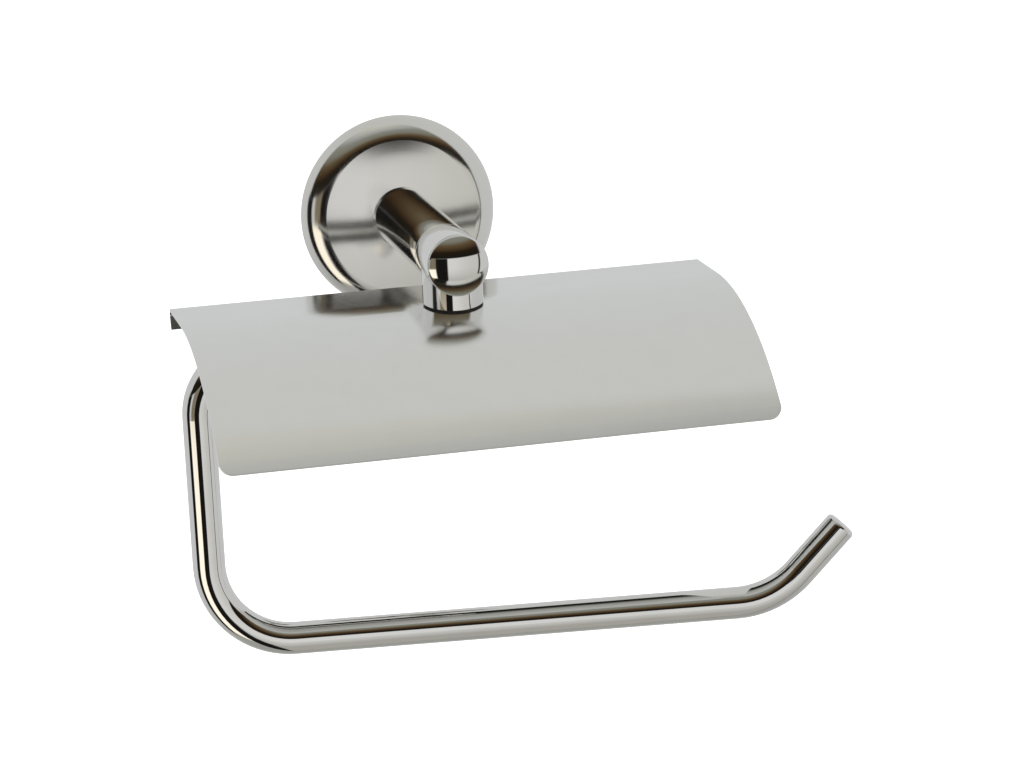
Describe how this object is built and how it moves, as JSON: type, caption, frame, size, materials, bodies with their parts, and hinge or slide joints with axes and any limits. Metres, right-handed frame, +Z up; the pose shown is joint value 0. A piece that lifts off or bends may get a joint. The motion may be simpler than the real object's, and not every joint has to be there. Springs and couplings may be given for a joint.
{
  "type": "toilet paper holder",
  "caption": "Wall-mounted toilet paper holder with a round flange, a short post, a curved sheet lid and an open bent-rod arm that turns slightly under the lid.",
  "frame": {"origin": "centre of the wall plate's back, on the wall, midway between the two screw holes", "axes": "+Z up, +Y into the wall, so the holder stands out towards -Y; +X to the right of someone facing the wall"},
  "size_m": [0.1623, 0.1138, 0.1212],
  "materials": {
    "polished_chrome": "polished",
    "brushed_lid": "satin",
    "zinc": "zinc plated, matt",
    "brass": "turned",
    "black_fibre": "matt",
    "white_nylon": "matt",
    "black_steel": "blackened"
  },
  "bodies": {
    "bracket": {"wall_plate": "zinc", "rosette": "polished_chrome", "rosette_grub_screw": "black_steel", "post_bolt": "zinc", "post_lock_washer": "zinc", "post_rear_plug": "brass", "post_tube": "polished_chrome", "post_front_plug": "brass", "head_stud": "zinc", "head": "polished_chrome", "end_cap": "polished_chrome", "neck": "polished_chrome", "neck_gasket": "black_fibre", "clamp_stud": "zinc", "lid": "brushed_lid", "lid_saddle": "zinc", "thrust_washer": "white_nylon", "wave_washer": "zinc", "flat_washer": "zinc", "cap_nut": "polished_chrome"},
    "arm_body": {"arm_block": "polished_chrome", "arm": "polished_chrome", "arm_grub_screw": "black_steel"}
  },
  "joints": [
    {"name": "arm_swivel", "type": "hinge", "parent": "bracket", "child": "arm_body", "pos_m": [0, -0.0655, -0.0195], "axis": [0, 0, 1], "range_deg": [-16, 16]}
  ]
}
